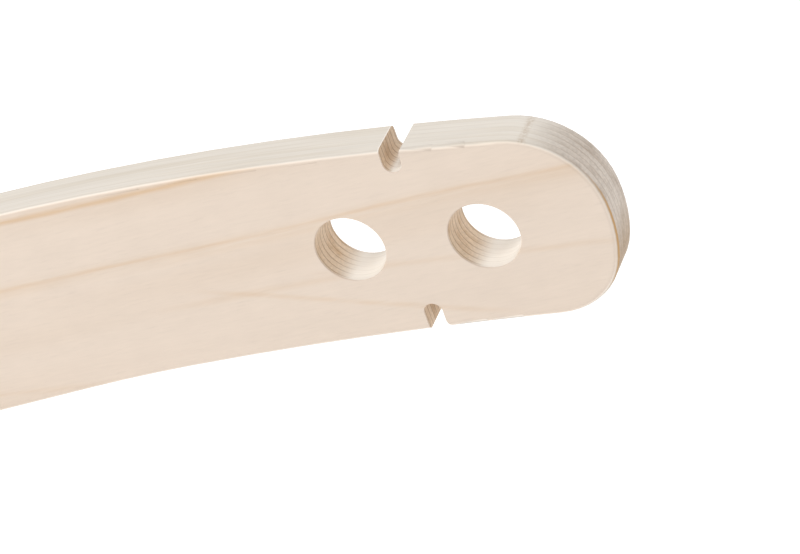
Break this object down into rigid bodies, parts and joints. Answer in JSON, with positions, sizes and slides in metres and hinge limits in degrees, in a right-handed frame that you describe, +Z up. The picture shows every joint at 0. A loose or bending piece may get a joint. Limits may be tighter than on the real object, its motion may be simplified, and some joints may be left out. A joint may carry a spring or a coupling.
{
  "type": "violin shoulder rest base bar",
  "caption": "Flat laminated wood bar in a shallow arch with rounded ends, foot holes and edge notches.",
  "frame": {"origin": "bottom centre of the bounding box: the bar stands on its arched lower edge, midway between its ends", "axes": "+X along the bar, +Z up across its width from the hollow edge to the arched edge, -Y out of the front face"},
  "size_m": [0.2358, 0.0068, 0.0343],
  "materials": {
    "face_veneer": "pale birch or maple veneer, sanded, satin, unvarnished",
    "core_veneer": "pale birch veneer, sawn and sanded edges with thin darker glue lines"
  },
  "bodies": {
    "root": {"front_face_veneer": "face_veneer", "core_veneer_1": "core_veneer", "core_veneer_2": "core_veneer", "core_veneer_3": "core_veneer", "core_veneer_4": "core_veneer", "core_veneer_5": "core_veneer", "core_veneer_6": "core_veneer", "back_face_veneer": "face_veneer"}
  },
  "joints": []
}
